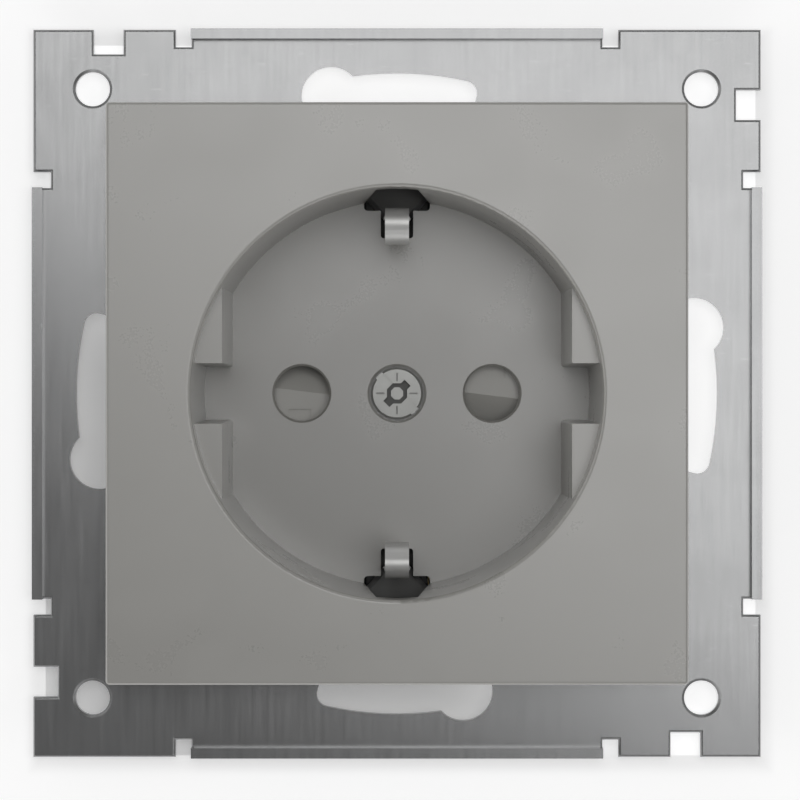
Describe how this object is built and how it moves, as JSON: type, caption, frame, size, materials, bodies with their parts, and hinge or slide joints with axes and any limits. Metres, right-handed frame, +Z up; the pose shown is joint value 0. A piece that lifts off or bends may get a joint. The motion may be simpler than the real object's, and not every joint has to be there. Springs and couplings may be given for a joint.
{
  "type": "wall socket insert",
  "caption": "Flush wall socket insert with a square satin cover, a round well with side earth clips, shuttered pin holes and a stamped metal support frame.",
  "frame": {"origin": "on the socket's axis, in the wall plane, which is the rear face of the support frame", "axes": "+X to the right seen from the room, +Y into the wall, +Z up"},
  "size_m": [0.071, 0.0398, 0.071],
  "materials": {
    "cover_grey": "satin moulded",
    "shutter_grey": "fine matt",
    "base_black": "fine matt",
    "frame_zinc": "zinc-plated sheet steel",
    "yoke_nickel": "nickel-plated brass strip",
    "contact_brass": "bright rolled",
    "spring_steel": "drawn wire",
    "fastener_zinc": "zinc-plated"
  },
  "bodies": {
    "insert": {"cover_plate": "cover_grey", "base_housing": "base_black", "contact_block": "base_black", "rear_cover": "base_black", "support_frame": "frame_zinc", "earth_yoke": "yoke_nickel", "live_contact": "contact_brass", "neutral_contact": "contact_brass", "live_terminal": "contact_brass", "neutral_terminal": "contact_brass", "earth_terminal": "contact_brass", "shutter_spring": "spring_steel", "cover_screw": "fastener_zinc", "rear_cover_screw_upper": "fastener_zinc", "rear_cover_screw_lower": "fastener_zinc", "live_terminal_screw": "fastener_zinc", "neutral_terminal_screw": "fastener_zinc", "earth_terminal_screw": "fastener_zinc", "rivet_upper_left": "fastener_zinc", "rivet_upper_right": "fastener_zinc", "rivet_lower_left": "fastener_zinc", "rivet_lower_right": "fastener_zinc"},
    "shutter": {"shutter": "shutter_grey"}
  },
  "joints": [
    {"name": "shutter_turn", "type": "hinge", "parent": "insert", "child": "shutter", "pos_m": [0, 0.00955, 0], "axis": [0, -1, 0], "range_deg": [0, 39], "stiffness_Nm_per_rad": 0.004, "springref_deg": -20.05, "deforming": ["shutter_spring"]}
  ]
}
